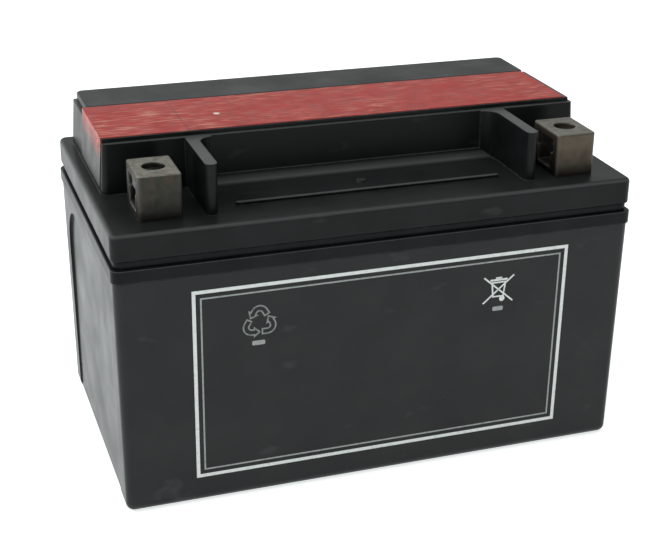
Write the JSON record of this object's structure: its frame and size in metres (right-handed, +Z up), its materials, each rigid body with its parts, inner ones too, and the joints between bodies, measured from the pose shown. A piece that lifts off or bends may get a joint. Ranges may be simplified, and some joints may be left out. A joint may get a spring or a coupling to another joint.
{
  "type": "motorcycle battery",
  "caption": "Sealed lead-acid starter battery: black case and stepped lid, box terminals with captive nuts, lift-off cap strip, red label and full cell packs inside.",
  "frame": {"origin": "centre of the bottom face", "axes": "+X along the length towards the negative terminal, -Y out of the printed front face, +Z up"},
  "size_m": [0.15, 0.087, 0.098],
  "materials": {
    "black_plastic": "moulded black polypropylene, satin",
    "red_label_film": "printed red film with pale fine-print rows",
    "cast_lead": "dull cast lead alloy",
    "positive_paste": "dark brown pressed paste",
    "negative_paste": "grey spongy lead paste",
    "glass_mat": "white glass-fibre mat",
    "zinc_plated_steel": "zinc plated",
    "black_rubber": "matt black rubber"
  },
  "bodies": {
    "battery": {"case": "black_plastic", "lid": "black_plastic", "top_label": "red_label_film", "terminal_positive": "cast_lead", "terminal_negative": "cast_lead", "positive_post": "cast_lead", "negative_post": "cast_lead", "intercell_weld_1": "cast_lead", "intercell_weld_2": "cast_lead", "intercell_weld_3": "cast_lead", "intercell_weld_4": "cast_lead", "intercell_weld_5": "cast_lead", "positive_plates_1": "positive_paste", "positive_strap_1": "cast_lead", "negative_plates_1": "negative_paste", "negative_strap_1": "cast_lead", "positive_plates_2": "positive_paste", "positive_strap_2": "cast_lead", "negative_plates_2": "negative_paste", "negative_strap_2": "cast_lead", "positive_plates_3": "positive_paste", "positive_strap_3": "cast_lead", "negative_plates_3": "negative_paste", "negative_strap_3": "cast_lead", "positive_plates_4": "positive_paste", "positive_strap_4": "cast_lead", "negative_plates_4": "negative_paste", "negative_strap_4": "cast_lead", "positive_plates_5": "positive_paste", "positive_strap_5": "cast_lead", "negative_plates_5": "negative_paste", "negative_strap_5": "cast_lead", "positive_plates_6": "positive_paste", "positive_strap_6": "cast_lead", "negative_plates_6": "negative_paste", "negative_strap_6": "cast_lead", "separators_1": "glass_mat", "separators_2": "glass_mat", "separators_3": "glass_mat", "separators_4": "glass_mat", "separators_5": "glass_mat", "separators_6": "glass_mat", "terminal_bush_positive": "black_rubber", "terminal_bush_negative": "black_rubber"},
    "cap_strip_body": {"cap_strip": "black_plastic", "plug_seals": "black_rubber", "vent_valves": "black_rubber"},
    "nut_positive_body": {"terminal_nut_positive": "zinc_plated_steel"},
    "nut_negative_body": {"terminal_nut_negative": "zinc_plated_steel"}
  },
  "joints": [
    {"name": "cap_strip_lift", "type": "slide", "parent": "battery", "child": "cap_strip_body", "axis": [0, 0, 1], "range_m": [0, 0.02]},
    {"name": "nut_positive_slide", "type": "slide", "parent": "battery", "child": "nut_positive_body", "axis": [-1, 0, 0], "range_m": [-0.006, 0.014]},
    {"name": "nut_negative_slide", "type": "slide", "parent": "battery", "child": "nut_negative_body", "axis": [1, 0, 0], "range_m": [-0.006, 0.014]}
  ]
}
